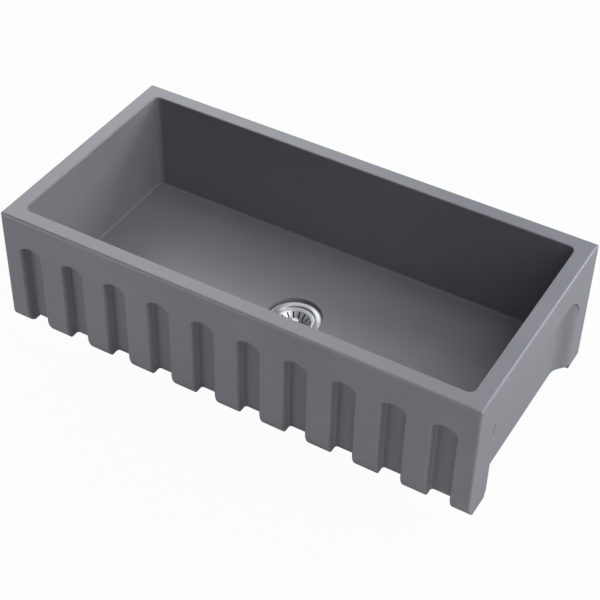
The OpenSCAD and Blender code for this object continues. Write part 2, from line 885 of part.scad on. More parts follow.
module basket_slots() {
    slot_start = basket_bottom_diameter / 2 - 3 * basket_sheet;
    slot_end = basket_ledge_diameter / 2 - basket_sheet;
    slot_base = basket_bottom_z + 6 * basket_sheet;
    for (slot = [0 : slot_count - 1])
        rotate([0, 0, (slot + 1 / 2) * 360 / slot_count])
            translate([slot_start, -slot_width / 2, slot_base])
                cube([slot_end - slot_start, slot_width, slope_top_z - slot_base]);
}

module basket_holes() {
    hole_circle = (basket_bottom_diameter + stopper_washer_diameter) / 4;
    translate([0, 0, basket_bottom_z - overrun])
        cylinder(d = stem_tail_diameter + 2 * stem_gap, h = basket_sheet + 2 * overrun,
            $fn = turned_facets);
    for (hole = [0 : bottom_hole_count - 1])
        rotate([0, 0, hole * 360 / bottom_hole_count])
            translate([hole_circle, 0, basket_bottom_z - overrun])
                cylinder(d = bottom_hole_diameter, h = basket_sheet + 2 * overrun,
                    $fn = round_facets);
}

// The rubber disc that closes the cup, chamfered to its slope.
module basket_stopper() {
    bore_radius = stem_tail_diameter / 2 + stem_gap;
    color(rubber_colour)
        rotate_extrude($fn = turned_facets)
            polygon([
                [bore_radius, stopper_z],
                [stopper_radius, stopper_z],
                [stopper_radius + stopper_height / 2 * cup_slope_rate, stopper_z + stopper_height / 2],
                [stopper_radius, basket_bottom_z],
                [bore_radius, basket_bottom_z]]);
}

module stopper_washer() {
    color(steel_colour)
        ring(stopper_washer_z, stopper_washer_height, stopper_washer_diameter,
            stem_tail_diameter + 2 * stem_gap);
}

module stem_nut() {
    color(steel_colour)
        translate([0, 0, stem_nut_z])
            difference() {
                cylinder(d = stem_nut_diameter, h = stem_nut_height, $fn = 6);
                translate([0, 0, -overrun])
                    cylinder(d = stem_tail_diameter + 2 * stem_gap, h = stem_nut_height + 2 * overrun,
                        $fn = turned_facets);
            }
}

// The stem: a spigot for the knob, a shoulder on the basket and a tail through the cross.
module basket_stem() {
    tail_radius = stem_tail_diameter / 2;
    stem_radius = stem_diameter / 2;
    shoulder_z = basket_bottom_z + basket_sheet;
    color(steel_colour)
        rotate_extrude($fn = turned_facets)
            polygon([
                [0, stem_end_z],
                [tail_radius / 2, stem_end_z],
                [tail_radius, stem_end_z + tail_radius],
                [tail_radius, shoulder_z],
                [stem_radius, shoulder_z],
                [stem_radius, knob_z],
                [tail_radius, knob_z],
                [tail_radius, spigot_top_z],
                [0, spigot_top_z]]);
}

module basket_knob() {
    knob_radius = knob_diameter / 2;
    bore_radius = stem_tail_diameter / 2 + stem_gap;
    bore_top_z = spigot_top_z + stem_gap;
    neck_radius = (knob_radius + stem_diameter / 2) / 2;
    color(steel_colour)
        rotate_extrude($fn = turned_facets)
            polygon([
                [bore_radius, knob_z],
                [neck_radius, knob_z],
                [knob_radius - knob_height / 8, knob_z + knob_height / 3],
                [knob_radius, knob_z + knob_height / 2],
                [knob_radius, knob_top_z - knob_height / 6],
                [knob_radius - knob_height / 6, knob_top_z],
                [0, knob_top_z],
                [0, bore_top_z],
                [bore_radius, bore_top_z]]);
}

sink_body();
flange_seal();
strainer_body();
outlet_cross();
sink_gasket();
friction_ring();
lock_nut();
tailpiece_washer();
coupling_nut();
tailpiece();
basket_cup();
basket_stopper();
stopper_washer();
stem_nut();
basket_stem();
basket_knob();
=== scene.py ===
# %% [markdown]
# # A fluted apron front kitchen sink
# The sink is one thick casting of fireclay under a matte glaze, and its waste outlet holds a
# basket strainer of pressed and turned steel. The frame carries every piece at its real size
# and place, in metres, with Z up. This lesson gives the pieces their finishes, rebuilds the
# casting's fluted front, the mouth of its bowl and the seat round its outlet from even faces,
# and sets up the light and the camera.

# %% Load the frame
import math

import bmesh
import bpy
from mathutils import Matrix, Vector


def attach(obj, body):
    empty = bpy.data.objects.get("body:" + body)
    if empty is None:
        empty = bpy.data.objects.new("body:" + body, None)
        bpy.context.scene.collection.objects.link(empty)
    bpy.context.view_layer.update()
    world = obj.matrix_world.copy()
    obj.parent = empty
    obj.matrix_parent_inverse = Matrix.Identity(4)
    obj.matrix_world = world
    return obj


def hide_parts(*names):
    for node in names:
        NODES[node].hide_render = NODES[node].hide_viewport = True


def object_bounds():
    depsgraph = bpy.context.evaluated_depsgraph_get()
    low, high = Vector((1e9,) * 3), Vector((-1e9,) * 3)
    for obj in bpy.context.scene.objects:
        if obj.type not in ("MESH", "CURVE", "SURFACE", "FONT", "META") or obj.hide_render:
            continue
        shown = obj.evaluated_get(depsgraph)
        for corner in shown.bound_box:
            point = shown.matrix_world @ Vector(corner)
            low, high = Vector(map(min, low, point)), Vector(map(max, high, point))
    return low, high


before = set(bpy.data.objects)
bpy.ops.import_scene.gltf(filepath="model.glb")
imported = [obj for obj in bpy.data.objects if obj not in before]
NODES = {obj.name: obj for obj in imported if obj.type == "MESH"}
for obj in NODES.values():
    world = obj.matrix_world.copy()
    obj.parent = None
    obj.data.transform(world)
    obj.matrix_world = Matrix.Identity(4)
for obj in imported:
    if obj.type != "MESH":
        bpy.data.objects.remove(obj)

MM = 0.001
CAD_LOW, CAD_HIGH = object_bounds()
print("frame from", tuple(CAD_LOW), "to", tuple(CAD_HIGH))

# %% [markdown]
# ## The camera
# A product picture of a sink is taken from above one front corner with a long lens, so that
# the rim stays nearly parallel and the bowl can be seen down to its outlet. The camera here is
# turned by three plain angles, and its lens is written as a focal length on a 36 mm sensor. A
# small shift places the sink in the frame without tilting its upright edges.

# %% Place the camera
CAMERA_AZIMUTH = 30.751
CAMERA_ELEVATION = 41.234
CAMERA_ROLL = 0.551
CAMERA_PLACE = Vector((0.98838, -1.74148, 1.88815))
CAMERA_LENS = 91.019
CAMERA_SHIFT = (0.0467, -0.0317)
CAMERA_FAR = 40.0


def camera_turn(azimuth, elevation, roll):
    """The rotation of a camera that looks at the front from azimuth and down from elevation."""
    around = Matrix.Rotation(math.radians(azimuth), 3, "Z")
    down = Matrix.Rotation(math.radians(90 - elevation), 3, "X")
    tilt = Matrix.Rotation(math.radians(roll), 3, "Z")
    return around @ down @ tilt


camera_data = bpy.data.cameras.new("photo_camera")
camera_data.lens = CAMERA_LENS
camera_data.shift_x, camera_data.shift_y = CAMERA_SHIFT
camera_data.clip_end = CAMERA_FAR
camera = bpy.data.objects.new("photo_camera", camera_data)
bpy.context.scene.collection.objects.link(camera)
turn = camera_turn(CAMERA_AZIMUTH, CAMERA_ELEVATION, CAMERA_ROLL)
camera.matrix_world = Matrix.Translation(CAMERA_PLACE) @ turn.to_4x4()
bpy.context.scene.camera = camera
print("camera at", tuple(round(v, 3) for v in CAMERA_PLACE), "lens", CAMERA_LENS)

# %% [markdown]
# ## Small helpers for materials
# Every finish starts from one Principled shader. The helpers below keep the cells short: one
# makes the material and returns its shader, one adds a node with its settings, and one joins
# two sockets. All patterns read Object coordinates, which are metres on the real object.

# %% Helpers for node trees
def new_finish(name):
    """A material with a bare Principled shader; returns the material, its tree and the shader."""
    material = bpy.data.materials.new(name)
    material.use_nodes = True
    tree = material.node_tree
    return material, tree, tree.nodes["Principled BSDF"]


def add_node(tree, kind, values=(), **settings):
    """Adds a node; values are (socket, value) pairs and settings are its own properties."""
    node = tree.nodes.new(kind)
    for key, value in settings.items():
        setattr(node, key, value)
    for socket, value in values:
        node.inputs[socket].default_value = value
    return node


def join(tree, source, output, target, socket):
    tree.links.new(source.outputs[output], target.inputs[socket])


def group_sockets(group, inputs, outputs):
    """Declares a group's sockets; each is (name, type, default)."""
    for name, kind, default in inputs:
        made = group.interface.new_socket(name, in_out="INPUT", socket_type=kind)
        if default is not None:
            made.default_value = default
    for name, kind in outputs:
        group.interface.new_socket(name, in_out="OUTPUT", socket_type=kind)


# %% [markdown]
# ## Two effects that several finishes share
# A glaze, a casting and a moulding all vary a little over their surface, so one group gives a
# slow change of tone and a fine grain. Turned metal carries rings round its axis, so a second
# group makes a height from the distance to the Z axis, and lets it wander a little, because a
# lathe or a polishing wheel never leaves perfect rings.

# %% Group: slow tone and fine grain
def build_surface_grain():
    group = bpy.data.node_groups.new("surface_grain", "ShaderNodeTree")
    group_sockets(group,
        [("Coordinates", "NodeSocketVector", None), ("Patch Scale", "NodeSocketFloat", 9.0),
         ("Grain Scale", "NodeSocketFloat", 900.0)],
        [("Patches", "NodeSocketFloat"), ("Grain", "NodeSocketFloat")])
    start = group.nodes.new("NodeGroupInput")
    end = group.nodes.new("NodeGroupOutput")
    patches = add_node(group, "ShaderNodeTexNoise", [("Detail", 3.0), ("Roughness", 0.5)])
    grain = add_node(group, "ShaderNodeTexNoise", [("Detail", 2.0), ("Roughness", 0.6)])
    for node, scale in ((patches, "Patch Scale"), (grain, "Grain Scale")):
        join(group, start, "Coordinates", node, "Vector")
        join(group, start, scale, node, "Scale")
    join(group, patches, "Fac", end, "Patches")
    join(group, grain, "Fac", end, "Grain")
    return group


SURFACE_GRAIN = build_surface_grain()
print("made group", SURFACE_GRAIN.name)


# %% Group: rings turned round the Z axis
def build_turned_rings():
    group = bpy.data.node_groups.new("turned_rings", "ShaderNodeTree")
    group_sockets(group,
        [("Coordinates", "NodeSocketVector", None), ("Rings Per Metre", "NodeSocketFloat", 1500.0),
         ("Wander", "NodeSocketFloat", 0.4)],
        [("Height", "NodeSocketFloat"), ("Streaks", "NodeSocketFloat")])
    start = group.nodes.new("NodeGroupInput")
    end = group.nodes.new("NodeGroupOutput")
    split = add_node(group, "ShaderNodeSeparateXYZ")
    flat = add_node(group, "ShaderNodeCombineXYZ")
    length = add_node(group, "ShaderNodeVectorMath", operation="LENGTH")
    join(group, start, "Coordinates", split, "Vector")
    join(group, split, "X", flat, "X")
    join(group, split, "Y", flat, "Y")
    join(group, flat, "Vector", length, "Vector")
    slow = add_node(group, "ShaderNodeTexNoise", [("Scale", 60.0), ("Detail", 2.0)])
    join(group, start, "Coordinates", slow, "Vector")
    rings = add_node(group, "ShaderNodeMath", operation="MULTIPLY")
    join(group, length, "Value", rings, 0)
    join(group, start, "Rings Per Metre", rings, 1)
    drift = add_node(group, "ShaderNodeMath", operation="MULTIPLY")
    join(group, slow, "Fac", drift, 0)
    join(group, start, "Wander", drift, 1)
    place = add_node(group, "ShaderNodeMath", operation="ADD")
    join(group, rings, "Value", place, 0)
    join(group, drift, "Value", place, 1)
    streaks = add_node(group, "ShaderNodeTexNoise", [("Scale", 1.0), ("Detail", 3.0)],
        noise_dimensions="1D")
    join(group, place, "Value", streaks, "W")
    join(group, streaks, "Fac", end, "Height")
    join(group, streaks, "Fac", end, "Streaks")
    return group


TURNED_RINGS = build_turned_rings()
print("made group", TURNED_RINGS.name)


# %% Helpers that place the groups in a material
def object_coordinates(tree):
    return add_node(tree, "ShaderNodeTexCoord")


def use_group(tree, group, values):
    node = add_node(tree, "ShaderNodeGroup", node_tree=group)
    for socket, value in values:
        node.inputs[socket].default_value = value
    join(tree, object_coordinates(tree), "Object", node, "Coordinates")
    return node


NOISE_SPAN = (0.3, 0.7)


def ramp(tree, source, output, low, high, positions=NOISE_SPAN):
    """A colour ramp from low to high, driven by a value."""
    node = add_node(tree, "ShaderNodeValToRGB")
    for element, place, colour in zip(node.color_ramp.elements, positions, (low, high)):
        element.position = place
        element.color = (*colour, 1.0)
    join(tree, source, output, node, "Fac")
    return node


def span(tree, source, output, low, high):
    """Maps a noise's usual span to low..high, for a roughness that varies."""
    node = add_node(tree, "ShaderNodeMapRange", [("From Min", NOISE_SPAN[0]),
        ("From Max", NOISE_SPAN[1]), ("To Min", low), ("To Max", high)])
    join(tree, source, output, node, "Value")
    return node


def bump(tree, shader, source, output, strength, distance):
    """A bump from a height, into the shader's normal; distance is in metres."""
    node = add_node(tree, "ShaderNodeBump", [("Strength", strength), ("Distance", distance)])
    join(tree, source, output, node, "Height")
    join(tree, node, "Normal", shader, "Normal")


print("a noise's usual span", NOISE_SPAN)

# %% [markdown]
# ## The matte glaze
# The photo shows a satin blue-grey glaze with no gloss spots, only a soft sheen along the
# rolled edges. Glaze settles in slow patches, so the colour and the roughness drift by a few
# hundredths over a hand's width, and a faint orange peel breaks up the sheen.

# %% Finish: fireclay glaze
def make_glaze():
    material, tree, shader = new_finish("fireclay_glaze")
    grain = use_group(tree, SURFACE_GRAIN, [("Patch Scale", 7.0), ("Grain Scale", 420.0)])
    colour = ramp(tree, grain, "Patches", (0.241, 0.247, 0.264), (0.260, 0.266, 0.284))
    join(tree, colour, "Color", shader, "Base Color")
    rough = span(tree, grain, "Patches", 0.34, 0.41)
    join(tree, rough, "Result", shader, "Roughness")
    bump(tree, shader, grain, "Grain", 0.05, 0.0004)
    return material


GLAZE = make_glaze()
print("made finish", GLAZE.name)

# %% [markdown]
# ## Metals of the strainer
# The flange is turned and then brushed, so its rings catch the light as fine concentric
# lines. The basket is pressed from polished sheet, with fainter lines. The tail below the sink
# is chrome plated brass, and the lock nut is a dull zinc casting.

# %% Finish: turned and pressed steel
STEEL = (0.70, 0.71, 0.73)
BRIGHT_STEEL = (0.84, 0.85, 0.87)
# Near black, painted into the strainer body's colour below its seat as shade.
PAINTED_SHADE_COLOUR = (0.07, 0.07, 0.075)
STREAK_SHADE = 0.66
STREAK_SPAN = (0.36, 0.60)
STREAK_ROUGHNESS = 0.08
RIM_SEAT_Z = 35.4 * MM
FADE_HEIGHT = 1.5 * MM
# A colour Mix node also keeps the sockets of its other types, so its own go by number.
MIX_FACTOR = 0
MIX_FIRST = 6
MIX_SECOND = 7
MIX_COLOUR = 2


def paint_shade_below(tree, shader, tone, height):
    """Paints shade into the base colour below a height: near black stands in for the shade in and
    under the outlet.
    """
    split = add_node(tree, "ShaderNodeSeparateXYZ")
    join(tree, object_coordinates(tree), "Object", split, "Vector")
    up = add_node(tree, "ShaderNodeMapRange",
        [("From Min", height - FADE_HEIGHT), ("From Max", height)])
    join(tree, split, "Z", up, "Value")
    mix = add_node(tree, "ShaderNodeMix", [(MIX_FIRST, (*PAINTED_SHADE_COLOUR, 1.0))], data_type="RGBA")
    join(tree, up, "Result", mix, MIX_FACTOR)
    join(tree, tone, "Color", mix, MIX_SECOND)
    join(tree, mix, MIX_COLOUR, shader, "Base Color")


def make_turned_steel(name, colour, rough, rings, depth, painted_shade_height=None):
    """Turned metal. Below the height given last, where one is given, its colour is painted near
    black as shade.
    """
    material, tree, shader = new_finish(name)
    shader.inputs["Metallic"].default_value = 1.0
    lines = use_group(tree, TURNED_RINGS, [("Rings Per Metre", rings), ("Wander", 0.5)])
    low = tuple(STREAK_SHADE * c for c in colour)
    tone = ramp(tree, lines, "Streaks", low, colour, STREAK_SPAN)
    rough_span = span(tree, lines, "Streaks", rough, rough + STREAK_ROUGHNESS)
    join(tree, rough_span, "Result", shader, "Roughness")
    bump(tree, shader, lines, "Height", 0.5, depth)
    if painted_shade_height is None:
        join(tree, tone, "Color", shader, "Base Color")
    else:
        paint_shade_below(tree, shader, tone, painted_shade_height)
    return material


# The strainer body's colour is painted near black below the seat, as painted shade.
FLANGE_STEEL = make_turned_steel("flange_steel", STEEL, 0.33, 420.0, 0.00040, RIM_SEAT_Z)
BASKET_STEEL = make_turned_steel("basket_steel", BRIGHT_STEEL, 0.42, 700.0, 0.00006)
KNOB_STEEL = make_turned_steel("knob_steel", STEEL, 0.14, 700.0, 0.00003)
print("made finishes", FLANGE_STEEL.name, BASKET_STEEL.name, KNOB_STEEL.name)


# %% Finish: chrome plate and cast zinc
def make_chrome():
    material, tree, shader = new_finish("chrome_plate")
    shader.inputs["Metallic"].default_value = 1.0
    grain = use_group(tree, SURFACE_GRAIN, [("Patch Scale", 40.0), ("Grain Scale", 700.0)])
    tone = ramp(tree, grain, "Patches", (0.74, 0.75, 0.77), (0.80, 0.81, 0.83))
    join(tree, tone, "Color", shader, "Base Color")
    rough = span(tree, grain, "Patches", 0.22, 0.30)
    join(tree, rough, "Result", shader, "Roughness")
    bump(tree, shader, grain, "Grain", 0.04, 0.0001)
    return material


def make_cast_zinc():
    material, tree, shader = new_finish("cast_zinc")
    shader.inputs["Metallic"].default_value = 1.0
    grain = use_group(tree, SURFACE_GRAIN, [("Patch Scale", 60.0), ("Grain Scale", 1600.0)])
    tone = ramp(tree, grain, "Patches", (0.40, 0.41, 0.42), (0.52, 0.53, 0.54))
    join(tree, tone, "Color", shader, "Base Color")
    rough = span(tree, grain, "Grain", 0.40, 0.58)
    join(tree, rough, "Result", shader, "Roughness")
    bump(tree, shader, grain, "Grain", 0.35, 0.0002)
    return material


CHROME = make_chrome()
ZINC = make_cast_zinc()
print("made finishes", CHROME.name, ZINC.name)

# %% [markdown]
# ## Rubber, fibre and plastic
# The seals are black rubber with a dusty bloom, the friction ring is pressed fibre board, and
# the tailpiece's washer is white polyethylene, which lets a little light into its skin.

# %% Finish: rubber, fibre board and polyethylene
GRAIN_ROUGHNESS = 0.12


def make_soft(name, low, high, rough, patch_scale, grain_scale, strength):
    """A dull soft material, with a slow change of tone and a fine grain."""
    material, tree, shader = new_finish(name)
    grain = use_group(tree, SURFACE_GRAIN,
        [("Patch Scale", patch_scale), ("Grain Scale", grain_scale)])
    tone = ramp(tree, grain, "Patches", low, high)
    join(tree, tone, "Color", shader, "Base Color")
    rough_span = span(tree, grain, "Grain", rough, rough + GRAIN_ROUGHNESS)
    join(tree, rough_span, "Result", shader, "Roughness")
    bump(tree, shader, grain, "Grain", strength, 0.0002)
    return material


RUBBER = make_soft("black_rubber", (0.016, 0.016, 0.018), (0.032, 0.032, 0.034), 0.55,
    90.0, 2200.0, 0.2)
FIBRE = make_soft("fibre_board", (0.30, 0.22, 0.14), (0.46, 0.37, 0.25), 0.78,
    260.0, 1800.0, 0.5)
PLASTIC = make_soft("white_polyethylene", (0.72, 0.72, 0.69), (0.80, 0.80, 0.77), 0.40,
    50.0, 1500.0, 0.1)
PLASTIC.node_tree.nodes["Principled BSDF"].inputs["Subsurface Weight"].default_value = 0.1
print("made finishes", RUBBER.name, FIBRE.name, PLASTIC.name)

# %% [markdown]
# ## Dress the frame's pieces
# The strainer's pieces have the right shape in the frame already, so they only take their
# finish here. A node's material slots are assigned, and its mesh stays as it is. The casting
# takes its glaze too, and the copy that is made of it further down wears the same one.

# %% Give each node its finish
FINISHES = {
    "sink_body": GLAZE,
    "flange_seal": RUBBER,
    "strainer_body": FLANGE_STEEL,
    "outlet_cross": KNOB_STEEL,
    "sink_gasket": RUBBER,
    "friction_ring": FIBRE,
    "lock_nut": ZINC,
    "tailpiece_washer": PLASTIC,
    "coupling_nut": CHROME,
    "tailpiece": CHROME,
    "basket_cup": BASKET_STEEL,
    "basket_stopper": RUBBER,
    "stopper_washer": KNOB_STEEL,
    "stem_nut": KNOB_STEEL,
    "basket_stem": KNOB_STEEL,
    "basket_knob": KNOB_STEEL,
}
for name, finish in FINISHES.items():
    slots = NODES[name].material_slots
    if not slots:
        NODES[name].data.materials.append(finish)
    for slot in slots:
        slot.material = finish
print("dressed", len(FINISHES), "nodes")

# %% [markdown]
# ## The casting's skin
# A glazed casting has no hard facets: its flats run into its rolled edges without a line. The
# frame's casting has the right size and place, but the triangles of its fluted front, of the
# bowl's mouth and of the seat round its outlet are long and uneven, and a glaze shows them as
# ticks. So the mesh is copied, those three stretches are cut out of the copy, and even rows of
# faces take their place. All three need one small helper, the steps of a quarter turn.

# %% Steps of a quarter turn
def quarter(steps):
    """The angles of a quarter turn, from 0 to 90 degrees."""
    return [math.radians(90 * i / steps) for i in range(steps + 1)]


print("a quarter turn in 3 steps", [round(math.degrees(a)) for a in quarter(3)])

# %% [markdown]
# ### The fluted front
# Each flute is a channel with a flat bottom, a rolled edge and a flat arch at its top, and its
# foot follows the front where that curves back under the sink. A channel could be cut with a
# boolean and its edge bevelled, but the faces would be as uneven as before. Here the rows are
# laid out by a formula. A row has a place on the flute's edge, a direction out of the flute,
# and the point on the border of the flute's own cell that it runs out to.

# %% Sizes of the fluted front
FRONT_Y = CAD_LOW.y
UNDER_Z = 12.4 * MM
CURVE_Z = 40.0 * MM
CURVE_RADIUS = 45.0 * MM
SHEET_TOP = 198.0 * MM
SHEET_HALF = 425.5 * MM
SHEET_BACK = -195.0 * MM
BEHIND_FLUTES = -202.0 * MM
FLUTES = 10
FLUTE_PITCH = 88.9 * MM
FLUTE_HALF = 21.5 * MM
FLUTE_DEPTH = 18.0 * MM
CROWN_Z = 192.4 * MM
ARCH_RADIUS = 29.0 * MM
SHOULDER_RADIUS = 9.0 * MM
ROLL_RADIUS = 3.0 * MM
FILLET_RADIUS = 5.0 * MM
print("flutes", FLUTES, "over", round((FLUTES - 1) * FLUTE_PITCH + 2 * FLUTE_HALF, 4))


# %% The profile across a flute's edge
ROLL_STEPS = 6
FILLET_STEPS = 8


def flute_profile():
    """Points (outward, inward) across a flute's edge: rolled edge, wall, fillet."""
    roll = [(ROLL_RADIUS * (1 - math.sin(a)), ROLL_RADIUS * (1 - math.cos(a)))
        for a in quarter(ROLL_STEPS)]
    deep = FLUTE_DEPTH - FILLET_RADIUS
    fillet = [(FILLET_RADIUS * (math.cos(a) - 1), deep + FILLET_RADIUS * math.sin(a))
        for a in quarter(FILLET_STEPS)]
    return roll + fillet


print("points across a flute's edge", len(flute_profile()))


# %% The rows up a flute and over its arch
CURVE_STEPS = 10
SHOULDER_STEPS = 8
ARCH_STEPS = 12
WALL_HEIGHTS = [75 * MM, 110 * MM, 145 * MM]


def side_rows(side_reach, shoulder_z):
    """Rows up a flute's straight side, closer together where the front curves under."""
    under = math.asin((CURVE_Z - UNDER_Z) / CURVE_RADIUS)
    curve = [CURVE_Z - CURVE_RADIUS * math.sin(under * (1 - i / CURVE_STEPS))
        for i in range(CURVE_STEPS + 1)]
    heights = curve + WALL_HEIGHTS + [shoulder_z]
    return [((FLUTE_HALF, z), (1.0, 0.0), (side_reach, z)) for z in heights]


def flute_rows(side_reach):
    """Rows up one side of a flute and over its arch: a place, an outward direction, and the
    point of the cell's border that the row runs out to, all in the plane of the front."""
    arch_z = CROWN_Z - ARCH_RADIUS
    inset = FLUTE_HALF - SHOULDER_RADIUS
    rise = math.sqrt((ARCH_RADIUS - SHOULDER_RADIUS) ** 2 - inset ** 2)
    shoulder_z = arch_z + rise
    turned = math.atan2(rise, inset)
    rows = side_rows(side_reach, shoulder_z)
    for i in range(1, SHOULDER_STEPS + 1):
        part = i / SHOULDER_STEPS
        out = (math.cos(turned * part), math.sin(turned * part))
        place = (inset + SHOULDER_RADIUS * out[0], shoulder_z + SHOULDER_RADIUS * out[1])
        rows.append((place, out, (side_reach, shoulder_z + (SHEET_TOP - shoulder_z) * part)))
    for i in range(1, ARCH_STEPS + 1):
        part = i / ARCH_STEPS
        a = turned + (math.radians(90) - turned) * part
        out = (math.cos(a), math.sin(a)) if i < ARCH_STEPS else (0.0, 1.0)
        place = (ARCH_RADIUS * out[0], arch_z + ARCH_RADIUS * out[1])
        rows.append((place, out, (side_reach * (1 - part), SHEET_TOP)))
    return rows


print("rows on each side of a flute", len(flute_rows(FLUTE_PITCH / 2)))


# %% A flute with its cell of the front
def front_at(z):
    """Where the front's surface is at a height: flat, then curving back under the sink."""
    drop = max(0.0, CURVE_Z - z)
    return FRONT_Y + CURVE_RADIUS - math.sqrt(CURVE_RADIUS ** 2 - drop ** 2)


def row_points(row, profile):
    """The points of one row, from the cell's border in to the flute's bottom."""
    (x, z), (out_x, out_z), (edge_x, edge_z) = row
    points = [(edge_x, front_at(edge_z), edge_z)]
    for outward, inward in profile:
        point_z = z + outward * out_z
        points.append((x + outward * out_x, front_at(point_z) + inward, point_z))
    return points


def add_half_flute(work, centre, side, rows, profile):
    """One side of a flute, with faces that look forward; returns its rows of vertices."""
    grid = []
    for row in rows:
        grid.append([work.verts.new((centre + side * x, y, z))
            for x, y, z in row_points(row, profile)])
    for low, high in zip(grid, grid[1:]):
        for j in range(len(low) - 1):
            quad = [low[j], low[j + 1], high[j + 1], high[j]]
            work.faces.new(quad if side < 0 else quad[::-1])
    return grid


def add_flute(work, centre, reaches, profile):
    """One flute and the front round it; reaches are the cell's two half widths. Returns the
    vertices of its bottom row, from left to right."""
    left, right = [add_half_flute(work, centre, side, flute_rows(reach), profile)
        for side, reach in zip((-1, 1), reaches)]
    for i in range(len(left) - 1):
        work.faces.new([left[i][-1], right[i][-1], right[i + 1][-1], left[i + 1][-1]])
    return left[0] + right[0][::-1]


def add_front(work):
    """Adds every flute, and fills the underside behind their bottom rows."""
    profile = flute_profile()
    bottom = []
    for k in range(FLUTES):
        centre = (k - (FLUTES - 1) / 2) * FLUTE_PITCH
        left = centre + SHEET_HALF if k == 0 else FLUTE_PITCH / 2
        right = SHEET_HALF - centre if k == FLUTES - 1 else FLUTE_PITCH / 2
        row = add_flute(work, centre, (left, right), profile)
        bottom += row if k == FLUTES - 1 else row[:-1]
    back = [work.verts.new((x, SHEET_BACK, UNDER_Z)) for x in (SHEET_HALF, -SHEET_HALF)]
    work.faces.new((bottom + back)[::-1])


print("the front lies at", round(front_at(CURVE_Z), 4), "and at", round(front_at(UNDER_Z), 4))

# %% [markdown]
# ### The lip of the outlet's seat
# The bowl's floor ends in a small crisp lip round the strainer's flange. It is a turned form,
# so its profile is drawn once as a chain of edges, and the spin operator carries it round the
# outlet's axis. It takes about four times as many steps as the casting's own ring has corners,
# for a round highlight. The borders of the two then lie up to a tenth of a millimetre apart.

# %% The lip, spun round the outlet's axis
SEAT_RADIUS = 50.5 * MM
SEAT_LIP = 1.6 * MM
OLD_LIP = 4.0 * MM
BOWL_FLOOR_Z = 49.0 * MM
LIP_FOOT_Z = BOWL_FLOOR_Z - OLD_LIP
LIP_STEPS = 5
SPIN_STEPS = 192


def lip_outline():
    """Points (radius, z) from the seat up over the lip and out to the bowl's floor. In this
    order the spun faces look up and inwards."""
    foot = [(SEAT_RADIUS, LIP_FOOT_Z)]
    lip = [(SEAT_RADIUS + SEAT_LIP * (1 - math.cos(a)), BOWL_FLOOR_Z - SEAT_LIP * (1 - math.sin(a)))
        for a in quarter(LIP_STEPS)]
    flat = [(SEAT_RADIUS + 2 * SEAT_LIP, BOWL_FLOOR_Z), (SEAT_RADIUS + OLD_LIP, BOWL_FLOOR_Z)]
    return foot + lip + flat


def add_seat_lip(work):
    """Sets a small crisp lip between the bowl's floor and the seat."""
    chain = [work.verts.new((radius, 0, z)) for radius, z in lip_outline()]
    edges = [work.edges.new(pair) for pair in zip(chain, chain[1:])]
    bmesh.ops.spin(work, geom=chain + edges, cent=(0, 0, 0), axis=(0, 0, 1), dvec=(0, 0, 0),
        angle=math.tau, steps=SPIN_STEPS, use_merge=True)


print("points across the lip", len(lip_outline()))

# %% [markdown]
# ### The rolled mouth of the bowl
# The rim turns down into the bowl over a small roll, which carries a thin bright line of light
# all the way round. A bevel on the copied edge would inherit its uneven corners, so loops of
# equal steps are laid from a square-cornered border in the rim, over the roll and down the
# wall, and each loop is joined to the next.

# %% Loops round the mouth
RIM_Z = CAD_HIGH.z
BOWL_HALF_X = 426.5 * MM
BOWL_HALF_Y = 200.5 * MM
BOWL_CORNER = 12.0 * MM
MOUTH_RADIUS = 2.5 * MM
MOUTH_BORDER = 6.0 * MM
MOUTH_FOOT_Z = 248.0 * MM
BORDER_X = BOWL_HALF_X + MOUTH_BORDER
BORDER_Y = BOWL_HALF_Y + MOUTH_BORDER
CORNER_SIDES = ((1, 1), (-1, 1), (-1, -1), (1, -1))
CORNER_STEPS = 12
ROLL_OVER_STEPS = 6


def mouth_loop(offset, z):
    """A loop round the mouth, at an offset out from the bowl's walls."""
    radius = BOWL_CORNER + offset
    loop = []
    for quadrant, (x_side, y_side) in enumerate(CORNER_SIDES):
        x = x_side * (BOWL_HALF_X - BOWL_CORNER)
        y = y_side * (BOWL_HALF_Y - BOWL_CORNER)
        for step in quarter(CORNER_STEPS):
            a = step + math.radians(90 * quadrant)
            loop.append((x + radius * math.cos(a), y + radius * math.sin(a), z))
    return loop


def border_loop():
    """The square-cornered border in the rim, one point for each point of a mouth loop."""
    inset_x = BOWL_HALF_X - BOWL_CORNER
    inset_y = BOWL_HALF_Y - BOWL_CORNER
    half_way = CORNER_STEPS / 2
    loop = []
    for quadrant, (x_side, y_side) in enumerate(CORNER_SIDES):
        for i in range(CORNER_STEPS + 1):
            t = i if quadrant % 2 == 0 else CORNER_STEPS - i
            x = BORDER_X - (BORDER_X - inset_x) * max(0, t - half_way) / half_way
            y = inset_y + (BORDER_Y - inset_y) * min(t, half_way) / half_way
            loop.append((x_side * x, y_side * y, RIM_Z))
    return loop


def join_loops(work, loops):
    """Joins closed loops, outer to inner, with faces that look up and inwards."""
    for outer, inner in zip(loops, loops[1:]):
        for i in range(len(outer)):
            k = (i + 1) % len(outer)
            work.faces.new((outer[i], outer[k], inner[k], inner[i]))


def add_mouth(work):
    """Sets the roll of the mouth between the rim and the bowl's walls."""
    outline = [(MOUTH_RADIUS * (1 - math.sin(a)), RIM_Z - MOUTH_RADIUS * (1 - math.cos(a)))
        for a in quarter(ROLL_OVER_STEPS)]
    loops = [border_loop()] + [mouth_loop(offset, z) for offset, z in outline]
    loops.append(mouth_loop(0.0, MOUTH_FOOT_Z))
    join_loops(work, [[work.verts.new(point) for point in loop] for loop in loops])


print("points round the mouth", len(border_loop()))

